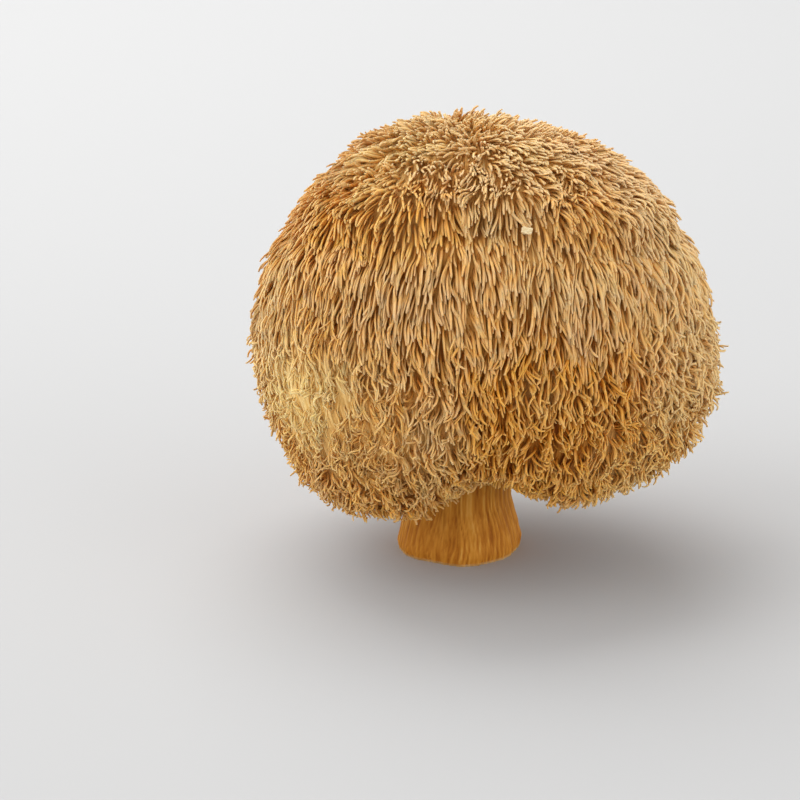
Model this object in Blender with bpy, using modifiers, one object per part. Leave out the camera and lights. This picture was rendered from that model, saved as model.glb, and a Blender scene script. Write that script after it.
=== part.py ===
"""A dried lion's mane mushroom: a head of hanging teeth on a short stem, cut off flat.

Metres, +Z up. The origin is the middle of the flat cut that the mushroom rests on, and the
side with the notch between two lobes faces -Y.
"""

import math
import random

import bmesh
import bpy
from mathutils import Vector

# The head, measured at the tips of its teeth.
HEAD_WIDTH = 0.0856
HEAD_DEPTH = 0.0810
EQUATOR_HEIGHT = 0.0365
CROWN_RISE = 0.0442
BELLY_DROP = 0.0273
RIM_ANGLE = math.radians(150)
CENTRE_SHIFT = 0.0045
CROWN_SHIFT = -0.0018
# The belly is fuller than an ellipse, and the widest line drops by this slope towards +X.
BELLY_FULLNESS = 0.865
EQUATOR_TILT = 0.054

# The rim hangs lowest on the left and is drawn up into a notch at the front.
RIM_MEAN = 1.03
RIM_SLOPE = 0.155
RIM_SLOPE_AZIMUTH = math.radians(16)
# Each notch: azimuth, half width in degrees, depth from 0 to 1.
NOTCHES = ((-92, 15, 1.0), (-160, 14, 0.15), (-28, 13, 0.15), (62, 15, 0.35), (140, 14, 0.25))
NOTCH_RISE = 0.0140
NOTCH_PULL = 0.24
# Low waves round the head: how many, how high as a share of the radius, phase.
LUMPS = ((3, 0.010, 0.6), (5, 0.008, 2.1))

# The stem and the flat seat under the head that it grows from.
STEM_NECK_RADIUS = 0.0094
STEM_WAIST_RADIUS = 0.0090
STEM_CUT_RADIUS = 0.0112
NECK_HEIGHT = 0.0215
SEAT_RADIUS = 0.0112
SEAT_GAP = 0.0003
HOLLOW_FLARE = 0.0012
FLUTES = ((4, 0.035, 0.7), (7, 0.025, 0))

# The teeth, gathered into tapered locks on a solid of flesh that lies a coat's depth inside.
COAT = 0.0027
LOCK_COUNT = 184
LOCK_SEED = 7
LOCK_RADIUS = 0.0024
LOCK_TAPER = (0.9, 1.0, 0.76, 0)
ROOT_DEPTH = 0.0020
NOTCH_TRIM = 0.4
GOLDEN_ANGLE = math.pi * (3 - math.sqrt(5))
CROWN_CROWDING = 1.24
FIRST_LOCK_ANGLE = math.radians(2)
LAST_LOCK_ANGLE = math.radians(148)
# Zones down from the crown: the angle that ends it, lock length, stand of the tip, swirl.
LOCK_ZONES = (
    (math.radians(38), 0.0078, 0.0026, 0.25),
    (math.radians(54), 0.0120, 0.0031, 0.16),
    (math.radians(98), 0.0165, 0.0022, 0.12),
    (math.pi, 0.0105, 0.0025, 0.45),
)
# Along a lock: share of its length, and of its stand above the flesh.
LOCK_PATH = ((0.30, 0.35), (0.68, 0.66), (1.0, 1.0))
LOCK_SPREAD = 0.15
LOCK_SCATTER = 0.08
NORMAL_STEP = 0.02

HEAD_STEPS = 32
STEM_STEPS = 24
PROFILE_POINTS = 10
MERGE = 0.00001


def clear_scene():
    for thing in list(bpy.data.objects):
        bpy.data.objects.remove(thing, do_unlink=True)


def new_collection(name):
    collection = bpy.data.collections.new(name)
    bpy.context.scene.collection.children.link(collection)
    return collection


def new_material(name, colour, roughness):
    material = bpy.data.materials.new(name)
    material.use_nodes = True
    shader = material.node_tree.nodes["Principled BSDF"]
    shader.inputs["Base Color"].default_value = (*colour, 1)
    shader.inputs["Roughness"].default_value = roughness
    shader.inputs["Metallic"].default_value = 0
    return material


def evaluated_mesh(thing, name):
    """The mesh that a curve or a modified object shows, with its loose seams welded."""
    shown = thing.evaluated_get(bpy.context.evaluated_depsgraph_get())
    mesh = bpy.data.meshes.new_from_object(shown)
    mesh.name = name
    work = bmesh.new()
    work.from_mesh(mesh)
    bmesh.ops.remove_doubles(work, verts=work.verts, dist=MERGE)
    work.to_mesh(mesh)
    work.free()
    return mesh


def turned_mesh(points, steps, name):
    """A profile of (radius, height) points, top to bottom, turned about Z."""
    outline = bpy.data.meshes.new(name + "_profile")
    corners = [(radius, 0, height) for radius, height in points]
    edges = [(index, index + 1) for index in range(len(corners) - 1)]
    outline.from_pydata(corners, edges, [])
    thing = bpy.data.objects.new(name + "_profile", outline)
    bpy.context.scene.collection.objects.link(thing)
    screw = thing.modifiers.new("turn", "SCREW")
    screw.axis = "Z"
    screw.steps = steps
    screw.render_steps = steps
    screw.use_merge_vertices = True
    screw.merge_threshold = MERGE
    screw.use_normal_calculate = False
    mesh = evaluated_mesh(thing, name)
    bpy.data.objects.remove(thing, do_unlink=True)
    return mesh


def waves(azimuth, terms):
    return sum(height * math.sin(count * azimuth + phase) for count, height, phase in terms)


def notch_depth(azimuth):
    """How far the rim is drawn up at an azimuth, from 0 to about 1."""
    depth = 0
    for place, half_width, share in NOTCHES:
        turn = math.degrees(azimuth) - place
        turn = (turn + 180) % 360 - 180
        depth += share * math.exp(-((turn / half_width) ** 2))
    return depth


def head_profile(angle, inset):
    """Radius and height over the equator at an angle from the crown, before the lobes."""
    across = math.sin(angle)
    up = math.cos(angle)
    if up > 0:
        return (HEAD_WIDTH / 2 - inset) * across, (CROWN_RISE - inset) * up
    across = across**BELLY_FULLNESS
    down = (-up) ** BELLY_FULLNESS
    return (HEAD_WIDTH / 2 - inset) * across, -(BELLY_DROP - inset) * down


def head_point(radius, height, azimuth):
    """A point of the turned head moved to the lobed, lopsided head, in world metres."""
    rim_radius = HEAD_WIDTH / 2 * math.sin(RIM_ANGLE) ** BELLY_FULLNESS
    hold = min(1, max(0, (radius - SEAT_RADIUS) / (rim_radius - SEAT_RADIUS)))
    if height < 0:
        low = min(1, -height / BELLY_DROP)
        notch = notch_depth(azimuth)
        slope = RIM_MEAN - RIM_SLOPE * math.cos(azimuth - RIM_SLOPE_AZIMUTH)
        height *= 1 + (slope - 1) * hold
        height += NOTCH_RISE * notch * low**2 * hold
        radius *= 1 - NOTCH_PULL * notch * low**1.5 * hold
        shift = CENTRE_SHIFT * hold
    else:
        shift = CENTRE_SHIFT + CROWN_SHIFT * (height / CROWN_RISE) ** 1.5
    radius *= 1 + waves(azimuth, LUMPS) * hold
    depth_share = 1 + (HEAD_DEPTH / HEAD_WIDTH - 1) * hold
    x = shift + radius * math.cos(azimuth)
    tilt = EQUATOR_TILT * hold * max(0, 1 - abs(height) / CROWN_RISE)
    return Vector((
        x,
        radius * math.sin(azimuth) * depth_share,
        EQUATOR_HEIGHT + height - tilt * x,
    ))


def flesh_mesh():
    """The solid that the teeth stand on: a dome, a belly and a hollow up to the stem's seat."""
    points = []
    for index in range(PROFILE_POINTS + 1):
        points.append(head_profile(RIM_ANGLE * index / PROFILE_POINTS, COAT))
    seat = NECK_HEIGHT + SEAT_GAP - EQUATOR_HEIGHT
    rim_radius, rim_height = points[-1]
    middle = (rim_radius + SEAT_RADIUS) / 2
    points[0] = (0, points[0][1])
    points.append((middle + HOLLOW_FLARE, rim_height + HOLLOW_FLARE))
    points.append((SEAT_RADIUS + HOLLOW_FLARE, (rim_height + seat) / 2))
    points.append((SEAT_RADIUS, seat))
    points.append((0, seat))
    mesh = turned_mesh(points, HEAD_STEPS, "flesh")
    for corner in mesh.vertices:
        place = corner.co
        radius = math.hypot(place.x, place.y)
        corner.co = head_point(radius, place.z, math.atan2(place.y, place.x))
    return mesh


def surface_point(angle, azimuth, proud):
    """A point that stands a given distance proud of the flesh."""
    place = head_point(*head_profile(angle, COAT), azimuth)
    below = head_point(*head_profile(angle + NORMAL_STEP, COAT), azimuth)
    beside = head_point(*head_profile(angle, COAT), azimuth + NORMAL_STEP)
    out = (below - place).cross(beside - place).normalized()
    return place + out * proud


def lock_points(angle, azimuth, chance):
    """The middle line of one lock, rooted in the flesh and combed down the head."""
    length, stand, swirl = next(zone[1:] for zone in LOCK_ZONES if angle < zone[0])
    length *= chance.uniform(1 - LOCK_SPREAD, 1 + LOCK_SPREAD)
    if angle > math.pi / 2:
        length *= 1 - NOTCH_TRIM * notch_depth(azimuth)
    lean = chance.uniform(-swirl, swirl)
    hook = chance.uniform(-swirl, swirl)
    reach = length / (HEAD_WIDTH / 2)
    ring = max(math.sin(angle), math.sin(LOCK_ZONES[0][0]) / 2)
    points = [surface_point(angle, azimuth, -ROOT_DEPTH)]
    for along, rise in LOCK_PATH:
        turn = (lean * along + hook * along**2) * reach / ring
        points.append(surface_point(angle + reach * along, azimuth + turn, rise * stand))
    return points


def lock_mesh():
    """All the locks as tapered curves, made into one mesh."""
    chance = random.Random(LOCK_SEED)
    curve = bpy.data.curves.new("locks", "CURVE")
    curve.dimensions = "3D"
    curve.bevel_depth = LOCK_RADIUS
    curve.bevel_resolution = 0
    curve.use_fill_caps = True
    span = math.cos(FIRST_LOCK_ANGLE) - math.cos(LAST_LOCK_ANGLE)
    for index in range(LOCK_COUNT):
        share = ((index + 0.5) / LOCK_COUNT) ** CROWN_CROWDING
        angle = math.acos(math.cos(FIRST_LOCK_ANGLE) - span * share)
        azimuth = index * GOLDEN_ANGLE + chance.uniform(-LOCK_SCATTER, LOCK_SCATTER)
        points = lock_points(angle, azimuth % (2 * math.pi), chance)
        size = chance.uniform(1 - LOCK_SPREAD, 1 + LOCK_SPREAD)
        spline = curve.splines.new("POLY")
        spline.points.add(len(points) - 1)
        for corner, place, share_here in zip(spline.points, points, LOCK_TAPER):
            corner.co = (*place, 1)
            corner.radius = share_here * size
    thing = bpy.data.objects.new("locks", curve)
    bpy.context.scene.collection.objects.link(thing)
    mesh = evaluated_mesh(thing, "locks")
    bpy.data.objects.remove(thing, do_unlink=True)
    return mesh


def keep_outer_shell(mesh):
    """Drop the small closed pockets that crossing locks leave inside the solid."""
    work = bmesh.new()
    work.from_mesh(mesh)
    left = set(work.verts)
    shells = []
    while left:
        front = [left.pop()]
        shell = set(front)
        while front:
            corner = front.pop()
            for edge in corner.link_edges:
                other = edge.other_vert(corner)
                if other in left:
                    left.remove(other)
                    shell.add(other)
                    front.append(other)
        shells.append(shell)
    shells.sort(key=len, reverse=True)
    for shell in shells[1:]:
        bmesh.ops.delete(work, geom=list(shell), context="VERTS")
    bmesh.ops.triangulate(work, faces=work.faces)
    work.to_mesh(mesh)
    work.free()


def make_head(collection, material):
    """The flesh and its locks, joined into one closed solid."""
    flesh = bpy.data.objects.new("head", flesh_mesh())
    locks = bpy.data.objects.new("locks", lock_mesh())
    for thing in (flesh, locks):
        bpy.context.scene.collection.objects.link(thing)
    union = flesh.modifiers.new("join", "BOOLEAN")
    union.operation = "UNION"
    union.solver = "EXACT"
    union.use_self = True
    union.object = locks
    mesh = evaluated_mesh(flesh, "head")
    keep_outer_shell(mesh)
    for thing in (flesh, locks):
        bpy.data.objects.remove(thing, do_unlink=True)
    mesh.materials.clear()
    mesh.materials.append(material)
    head = bpy.data.objects.new("head", mesh)
    collection.objects.link(head)
    return head


def make_stem(collection, material):
    """A short fluted stem with a flat seat on top and a flat cut below."""
    points = (
        (0, NECK_HEIGHT),
        (STEM_NECK_RADIUS, NECK_HEIGHT),
        (STEM_WAIST_RADIUS, NECK_HEIGHT * 0.72),
        (STEM_WAIST_RADIUS * 1.02, NECK_HEIGHT * 0.45),
        (STEM_CUT_RADIUS * 0.94, NECK_HEIGHT * 0.20),
        (STEM_CUT_RADIUS, NECK_HEIGHT * 0.06),
        (STEM_CUT_RADIUS * 0.97, 0),
        (0, 0),
    )
    mesh = turned_mesh(points, STEM_STEPS, "stem")
    for corner in mesh.vertices:
        azimuth = math.atan2(corner.co.y, corner.co.x)
        swell = 1 + waves(azimuth, FLUTES)
        corner.co.x *= swell
        corner.co.y *= swell
    mesh.materials.append(material)
    mesh.shade_smooth()
    mesh.set_sharp_from_angle(angle=math.radians(40))
    stem = bpy.data.objects.new("stem", mesh)
    collection.objects.link(stem)
    return stem


def main():
    clear_scene()
    mushroom = new_collection("lions_mane_mushroom")
    make_head(mushroom, new_material("dried_teeth", (0.56, 0.33, 0.13), 0.7))
    make_stem(mushroom, new_material("dried_stem", (0.62, 0.36, 0.15), 0.75))


main()
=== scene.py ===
import math

import bmesh
import bpy
import numpy as np
from mathutils import Matrix, Vector, noise
from mathutils.bvhtree import BVHTree


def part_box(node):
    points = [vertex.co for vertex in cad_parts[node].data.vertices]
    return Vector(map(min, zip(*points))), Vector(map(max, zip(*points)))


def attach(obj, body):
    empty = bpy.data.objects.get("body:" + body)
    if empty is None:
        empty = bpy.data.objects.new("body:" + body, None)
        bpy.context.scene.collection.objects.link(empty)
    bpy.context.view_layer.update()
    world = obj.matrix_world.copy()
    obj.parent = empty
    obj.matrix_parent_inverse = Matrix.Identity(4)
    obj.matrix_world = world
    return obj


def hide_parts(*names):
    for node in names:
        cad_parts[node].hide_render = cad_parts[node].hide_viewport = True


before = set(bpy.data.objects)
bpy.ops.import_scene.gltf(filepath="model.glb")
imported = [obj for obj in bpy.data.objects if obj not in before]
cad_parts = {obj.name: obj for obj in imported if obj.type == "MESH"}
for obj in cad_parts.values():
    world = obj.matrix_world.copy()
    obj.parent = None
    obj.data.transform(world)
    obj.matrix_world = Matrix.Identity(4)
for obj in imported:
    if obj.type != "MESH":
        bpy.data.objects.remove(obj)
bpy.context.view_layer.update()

MM = 0.001
HEAD_LOW, HEAD_HIGH = (np.array(corner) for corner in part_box("head"))
STEM_LOW, STEM_HIGH = (np.array(corner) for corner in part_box("stem"))
HEAD_SIZE = HEAD_HIGH - HEAD_LOW
HEAD_CENTRE = (HEAD_LOW + HEAD_HIGH) / 2
# The head is widest this far up its own height.
EQUATOR_SHARE = 0.388
EQUATOR = HEAD_LOW[2] + HEAD_SIZE[2] * EQUATOR_SHARE
MIDDLE = np.array((HEAD_CENTRE[0], HEAD_CENTRE[1], EQUATOR))


def placed(name, data):
    """A new object in the scene, at the origin."""
    thing = bpy.data.objects.new(name, data)
    bpy.context.scene.collection.objects.link(thing)
    return thing


def smooth_mesh(work, name):
    """The mesh that has been worked on, shaded smooth."""
    for face in work.faces:
        face.smooth = True
    mesh = bpy.data.meshes.new(name)
    work.to_mesh(mesh)
    work.free()
    return mesh


# ---- Node trees ----


def put(tree, kind, inputs=(), **settings):
    """A new node: settings first, then inputs in order or by identifier, linked or set."""
    node = tree.nodes.new(kind)
    for name, value in settings.items():
        setattr(node, name, value)
    pairs = inputs.items() if isinstance(inputs, dict) else enumerate(inputs)
    for key, value in pairs:
        if isinstance(key, str):
            socket = next(each for each in node.inputs if each.identifier == key)
        else:
            socket = node.inputs[key]
        if isinstance(value, bpy.types.Node):
            value = value.outputs[0]
        if isinstance(value, bpy.types.NodeSocket):
            tree.links.new(value, socket)
        else:
            socket.default_value = value
    return node


def calc(tree, operation, *values):
    return put(tree, "ShaderNodeMath", values, operation=operation).outputs[0]


def arrow(tree, operation, *values):
    node = put(tree, "ShaderNodeVectorMath", values, operation=operation)
    return node.outputs["Value" if operation == "DOT_PRODUCT" else "Vector"]


def added(tree, *vectors):
    total = vectors[0]
    for vector in vectors[1:]:
        total = arrow(tree, "ADD", total, vector)
    return total


def scaled(tree, vector, factor):
    node = put(tree, "ShaderNodeVectorMath", {"Vector": vector, "Scale": factor}, operation="SCALE")
    return node.outputs["Vector"]


def named(tree, name, kind="FLOAT"):
    """What a map or an earlier step has stored under a name."""
    node = put(tree, "GeometryNodeInputNamedAttribute", (name,), data_type=kind)
    return node.outputs["Attribute"]


def stored(tree, geometry, name, value, kind="FLOAT"):
    """A geometry that carries a value on each point under a name."""
    inputs = {"Geometry": geometry, "Name": name, "Value": value}
    node = put(tree, "GeometryNodeStoreNamedAttribute", inputs, data_type=kind, domain="POINT")
    return node.outputs[0]


def nearest(tree, surface, value, place):
    """A vector read off the surface at the spot nearest to a place."""
    inputs = {"Mesh": surface, "Value": value, "Sample Position": place}
    node = put(tree, "GeometryNodeSampleNearestSurface", inputs, data_type="FLOAT_VECTOR")
    return node.outputs[0]


def chance(tree, low, high, seed, kind="FLOAT"):
    """A random value for each point, the same at every run."""
    node = put(tree, "FunctionNodeRandomValue", data_type=kind)
    least, most = [socket for socket in node.inputs if socket.enabled][:2]
    least.default_value = low
    most.default_value = high
    tree.links.new(seed, next(each for each in node.inputs if each.identifier == "Seed"))
    return next(socket for socket in node.outputs if socket.enabled)


def position(tree):
    return put(tree, "GeometryNodeInputPosition").outputs[0]


# ---- The coat of teeth ----

COAT_INPUTS = (
    ("Spacing", "Float"),
    ("Tuft Spacing", "Float"),
    ("Gather", "Float"),
    ("Steps", "Int"),
    ("Sides", "Int"),
    ("Tip Share", "Float"),
    ("Curl Scale", "Float"),
    ("Scatter", "Float"),
    ("Seed", "Int"),
    ("Material", "Material"),
)
# What the finished teeth keep, for their material.
KEPT_ON_TEETH = ("tooth_along", "tooth_tint", "gold", "pale")

# Points are tried this many times as densely as one to the square of their spacing.
CROWDING = 8.0
# What a tooth measures: its name, the map it comes from, and the least and the most of it.
TOOTH_MEASURES = (
    ("span", "reach", (0.62, 1.18)),
    ("width", "thick", (0.70, 1.22)),
    ("level", "stand", (0.70, 1.15)),
)
ROOT_DEPTH = 0.4 * MM
# A tooth comes near its level early: it climbs a share of the way at each step, within limits.
LEVEL_ONSET = 0.5
CLIMB_SHARE = 0.25
CLIMB_LIMITS = (-0.6, 0.5)
# What turns a tooth at each step, beside its last heading: the comb, the noise it swirls in, and
# a hook that grows toward the tip.
COMB_PULL = 0.34
SWIRL_PULL = 3.4
HOOK_PULL = 0.5
# Neighbours read that noise this far apart, and further the more they curl.
SWIRL_APART = 0.1 * MM
SWIRL_APART_CURLED = 0.4 * MM
# A tooth narrows a little all along. Near its tip it narrows quickly and its steps get shorter,
# by this share at the last, so that the tip is round. The higher an onset, the later it begins.
TAPER = 0.10
TIP_ONSET = 7.0
TIP_STEP_CUT = 0.65
TIP_STEP_ONSET = 8.0


def scattered(tree, surface, spacing, seed, cover):
    """Points spread evenly over a surface, about as many as the spacing lets in."""
    inputs = {
        "Mesh": surface,
        "Distance Min": spacing,
        "Density Max": calc(tree, "DIVIDE", CROWDING, calc(tree, "MULTIPLY", spacing, spacing)),
        "Density Factor": cover,
        "Seed": seed,
    }
    kind = "GeometryNodeDistributePointsOnFaces"
    return put(tree, kind, inputs, distribute_method="POISSON")


def gathered(tree, surface, given, across):
    """How far a tooth is pulled sideways, toward the nearest of the points where tufts form."""
    knots = scattered(tree, surface, given["Tuft Spacing"], given["Seed"], 1.0).outputs["Points"]
    inputs = {"Geometry": knots, "Sample Position": position(tree)}
    which = put(tree, "GeometryNodeSampleNearest", inputs)
    inputs = {"Geometry": knots, "Value": position(tree), "Index": which}
    knot = put(tree, "GeometryNodeSampleIndex", inputs, data_type="FLOAT_VECTOR", domain="POINT")
    aside = arrow(tree, "DOT_PRODUCT", arrow(tree, "SUBTRACT", knot, position(tree)), across)
    aside = calc(tree, "DIVIDE", aside, named(tree, "reach"))
    return scaled(tree, across, calc(tree, "MULTIPLY", aside, given["Gather"]))


def rooted(tree, surface, given):
    """One point a tooth, with what makes it differ from its neighbours."""
    seed = given["Seed"]
    tint_seed = calc(tree, "ADD", seed, 1)
    grown = scattered(tree, surface, given["Spacing"], seed, named(tree, "cover"))
    out = grown.outputs["Normal"]
    drift = chance(tree, (-1, -1, -1), (1, 1, 1), seed, "FLOAT_VECTOR")
    root = grown.outputs["Points"]
    root = stored(tree, root, "tooth", put(tree, "GeometryNodeInputIndex"), "INT")
    root = stored(tree, root, "drift", drift, "FLOAT_VECTOR")
    root = stored(tree, root, "tooth_tint", chance(tree, 0.0, 1.0, tint_seed))
    for step, (name, source, limits) in enumerate(TOOTH_MEASURES, 2):
        share = chance(tree, *limits, calc(tree, "ADD", seed, step))
        root = stored(tree, root, name, calc(tree, "MULTIPLY", named(tree, source), share))
    comb = named(tree, "comb", "FLOAT_VECTOR")
    across = arrow(tree, "NORMALIZE", arrow(tree, "CROSS_PRODUCT", out, comb))
    pull = gathered(tree, surface, given, across)
    root = stored(tree, root, "pull", pull, "FLOAT_VECTOR")
    lifted = scaled(tree, out, named(tree, "lift"))
    start = added(tree, comb, lifted, scaled(tree, drift, given["Scatter"]))
    root = stored(tree, root, "heading", arrow(tree, "NORMALIZE", start), "FLOAT_VECTOR")
    root = stored(tree, root, "tooth_along", 0.0)
    sunk = scaled(tree, out, -ROOT_DEPTH)
    return put(tree, "GeometryNodeSetPosition", {"Geometry": root, "Offset": sunk}).outputs[0]


def climb(tree, height, along, step_length):
    """How far a tooth turns outward, or back in, to come to its level over the flesh."""
    wanted = calc(tree, "MULTIPLY", named(tree, "level"), calc(tree, "POWER", along, LEVEL_ONSET))
    rise = calc(tree, "DIVIDE", calc(tree, "SUBTRACT", wanted, height), step_length)
    rise = calc(tree, "MULTIPLY", rise, CLIMB_SHARE)
    lowest, highest = CLIMB_LIMITS
    return calc(tree, "MINIMUM", calc(tree, "MAXIMUM", rise, lowest), highest)


def swirled(tree, given, place, drift):
    """The noise that a tooth swirls in, read a little aside from where its neighbours read it."""
    apart = calc(tree, "MULTIPLY", named(tree, "curl"), SWIRL_APART_CURLED)
    apart = calc(tree, "ADD", apart, SWIRL_APART)
    shifted = arrow(tree, "ADD", place, scaled(tree, drift, apart))
    inputs = {"Vector": shifted, "Scale": given["Curl Scale"], "Detail": 1.0}
    colour = put(tree, "ShaderNodeTexNoise", inputs).outputs["Color"]
    return scaled(tree, arrow(tree, "SUBTRACT", colour, (0.5, 0.5, 0.5)), SWIRL_PULL)


def next_heading(tree, surface, given, along, step_length):
    """Where a tooth turns for its next step: along the comb, out to its level, and curling."""
    place = position(tree)
    out = nearest(tree, surface, put(tree, "GeometryNodeInputNormal").outputs[0], place)
    comb = nearest(tree, surface, named(tree, "comb", "FLOAT_VECTOR"), place)
    foot = nearest(tree, surface, position(tree), place)
    height = arrow(tree, "DOT_PRODUCT", arrow(tree, "SUBTRACT", place, foot), out)
    drift = named(tree, "drift", "FLOAT_VECTOR")
    heading = named(tree, "heading", "FLOAT_VECTOR")
    curl = named(tree, "curl")
    hook = arrow(tree, "CROSS_PRODUCT", heading, drift)
    hooked = calc(tree, "MULTIPLY", curl, calc(tree, "MULTIPLY", along, HOOK_PULL))
    bent = added(
        tree,
        heading,
        scaled(tree, comb, COMB_PULL),
        scaled(tree, out, climb(tree, height, along, step_length)),
        named(tree, "pull", "FLOAT_VECTOR"),
        scaled(tree, swirled(tree, given, place, drift), curl),
        scaled(tree, hook, hooked),
    )
    return arrow(tree, "NORMALIZE", bent)


def marched(tree, surface, given, root):
    """Every tooth's points, left behind by its tip as it moves on step by step."""
    begin = tree.nodes.new("GeometryNodeRepeatInput")
    end = tree.nodes.new("GeometryNodeRepeatOutput")
    begin.pair_with_output(end)
    end.repeat_items.clear()
    end.repeat_items.new("GEOMETRY", "Front")
    end.repeat_items.new("GEOMETRY", "Trail")
    tree.links.new(given["Steps"], begin.inputs["Iterations"])
    tree.links.new(root, begin.inputs["Front"])
    tree.links.new(root, begin.inputs["Trail"])
    along = calc(tree, "DIVIDE", calc(tree, "ADD", begin.outputs["Iteration"], 1), given["Steps"])
    step_length = calc(tree, "DIVIDE", named(tree, "span"), given["Steps"])
    heading = next_heading(tree, surface, given, along, step_length)
    front = stored(tree, begin.outputs["Front"], "heading", heading, "FLOAT_VECTOR")
    shorter = calc(tree, "MULTIPLY", calc(tree, "POWER", along, TIP_STEP_ONSET), TIP_STEP_CUT)
    stride = calc(tree, "MULTIPLY", step_length, calc(tree, "SUBTRACT", 1.0, shorter))
    move = scaled(tree, named(tree, "heading", "FLOAT_VECTOR"), stride)
    front = put(tree, "GeometryNodeSetPosition", {"Geometry": front, "Offset": move}).outputs[0]
    front = stored(tree, front, "tooth_along", along)
    joined = tree.nodes.new("GeometryNodeJoinGeometry")
    tree.links.new(front, joined.inputs[0])
    tree.links.new(begin.outputs["Trail"], joined.inputs[0])
    tree.links.new(front, end.inputs["Front"])
    tree.links.new(joined.outputs[0], end.inputs["Trail"])
    return end.outputs["Trail"]


def skinned(tree, given, trail):
    """Blunt tapered rods along the points, closed at both ends."""
    inputs = {
        "Points": trail,
        "Curve Group ID": named(tree, "tooth", "INT"),
        "Weight": named(tree, "tooth_along"),
    }
    rods = put(tree, "GeometryNodePointsToCurves", inputs).outputs[0]
    along = named(tree, "tooth_along")
    blunt = calc(tree, "SUBTRACT", 1.0, calc(tree, "POWER", along, TIP_ONSET))
    taper = calc(tree, "SUBTRACT", 1.0, calc(tree, "MULTIPLY", along, TAPER))
    taper = calc(tree, "MULTIPLY", taper, calc(tree, "POWER", blunt, 0.5))
    taper = calc(tree, "MAXIMUM", taper, given["Tip Share"])
    width = calc(tree, "MULTIPLY", named(tree, "width"), taper)
    rods = put(tree, "GeometryNodeSetCurveRadius", {"Curve": rods, "Radius": width}).outputs[0]
    ring = put(
        tree, "GeometryNodeCurvePrimitiveCircle", {"Resolution": given["Sides"], "Radius": 1.0}
    )
    radius = put(tree, "GeometryNodeInputRadius")
    inputs = {"Curve": rods, "Profile Curve": ring, "Scale": radius, "Fill Caps": True}
    body = put(tree, "GeometryNodeCurveToMesh", inputs)
    return put(tree, "GeometryNodeSetShadeSmooth", (body,)).outputs[0]


def coat_tree():
    """Teeth that grow from a surface and are combed along it by the maps it carries."""
    tree = bpy.data.node_groups.new("tooth_coat", "GeometryNodeTree")
    face = tree.interface
    face.new_socket("Geometry", in_out="OUTPUT", socket_type="NodeSocketGeometry")
    face.new_socket("Geometry", in_out="INPUT", socket_type="NodeSocketGeometry")
    for name, kind in COAT_INPUTS:
        face.new_socket(name, in_out="INPUT", socket_type="NodeSocket" + kind)
    given = tree.nodes.new("NodeGroupInput").outputs
    surface = given["Geometry"]
    trail = marched(tree, surface, given, rooted(tree, surface, given))
    whole = put(tree, "GeometryNodeRealizeInstances", (skinned(tree, given, trail),)).outputs[0]
    inputs = {"Geometry": whole, "Material": given["Material"]}
    coat = put(tree, "GeometryNodeSetMaterial", inputs).outputs[0]
    tree.links.new(coat, tree.nodes.new("NodeGroupOutput").inputs[0])
    return tree


def grown_on(mesh, tree, name, values):
    """The plain mesh that a tree makes from a mesh, as a piece with its object at the origin."""
    source = placed(name + "_source", mesh)
    grow = source.modifiers.new("grow", "NODES")
    grow.node_group = tree
    sockets = {item.name: item.identifier for item in tree.interface.items_tree}
    for key, value in values.items():
        grow[sockets[key]] = value
    shown = source.evaluated_get(bpy.context.evaluated_depsgraph_get())
    made = bpy.data.meshes.new_from_object(shown)
    made.name = name
    source.modifiers.remove(grow)
    bpy.data.objects.remove(source, do_unlink=True)
    for extra in [each.name for each in made.attributes if not each.is_internal]:
        if not made.attributes[extra].is_required and extra not in KEPT_ON_TEETH:
            made.attributes.remove(made.attributes[extra])
    return placed(name, made)


# ---- Materials ----

SHEEN = 0.1
# How far light spreads under the surface, and how much of it in red, green and blue.
GLOW_DEPTH = 0.35 * MM
GLOW_TINT = (1.0, 0.85, 0.7)
# How light single teeth are, from the darkest to the lightest.
DARKEST_TOOTH = 0.82
LIGHTEST_TOOTH = 1.06
# How much the gold of the teeth changes in small specks.
GOLD_SPECKS = 0.5
# How much the stem's colour follows its strands, dark in the grooves between them as painted shade,
# and how much their fine streaks.
STRAND_SHARE = 0.6
FINE_SHARE = 0.45


def new_surface(name, roughness, glow=0.0):
    """A material, with a share of the light spreading under its surface."""
    material = bpy.data.materials.new(name)
    material.use_nodes = True
    tree = material.node_tree
    shader = tree.nodes["Principled BSDF"]
    shader.inputs["Roughness"].default_value = roughness
    shader.inputs["Specular IOR Level"].default_value = SHEEN
    shader.inputs["Subsurface Weight"].default_value = glow
    shader.inputs["Subsurface Radius"].default_value = GLOW_TINT
    shader.inputs["Subsurface Scale"].default_value = GLOW_DEPTH
    return material, tree, shader


def attribute(tree, name):
    """What the piece's mesh carries under a name."""
    return put(tree, "ShaderNodeAttribute", attribute_name=name).outputs["Fac"]


def ramp(tree, value, stops):
    """A colour for each place on a scale from 0 to 1."""
    node = put(tree, "ShaderNodeValToRGB", (value,))
    elements = node.color_ramp.elements
    while len(elements) > 1:
        elements.remove(elements[-1])
    elements[0].position = stops[0][0]
    elements[0].color = (*stops[0][1], 1)
    for place, colour in stops[1:]:
        elements.new(place).color = (*colour, 1)
    return node.outputs["Color"]


def mixed(tree, factor, first, second, blend="MIX"):
    """A colour between two, or one colour times another."""
    inputs = {"Factor_Float": factor, "A_Color": first, "B_Color": second}
    node = put(tree, "ShaderNodeMix", inputs, data_type="RGBA", blend_type=blend)
    return next(each for each in node.outputs if each.identifier == "Result_Color")


def object_noise(tree, scale, detail=2.0, stretch=(1, 1, 1)):
    """Noise that is fixed to the piece, with this many lumps to a metre."""
    place = tree.nodes.new("ShaderNodeTexCoord").outputs["Object"]
    if stretch != (1, 1, 1):
        place = put(tree, "ShaderNodeMapping", {"Vector": place, "Scale": stretch}).outputs[0]
    inputs = {"Vector": place, "Scale": scale, "Detail": detail}
    return put(tree, "ShaderNodeTexNoise", inputs).outputs["Fac"]


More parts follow.
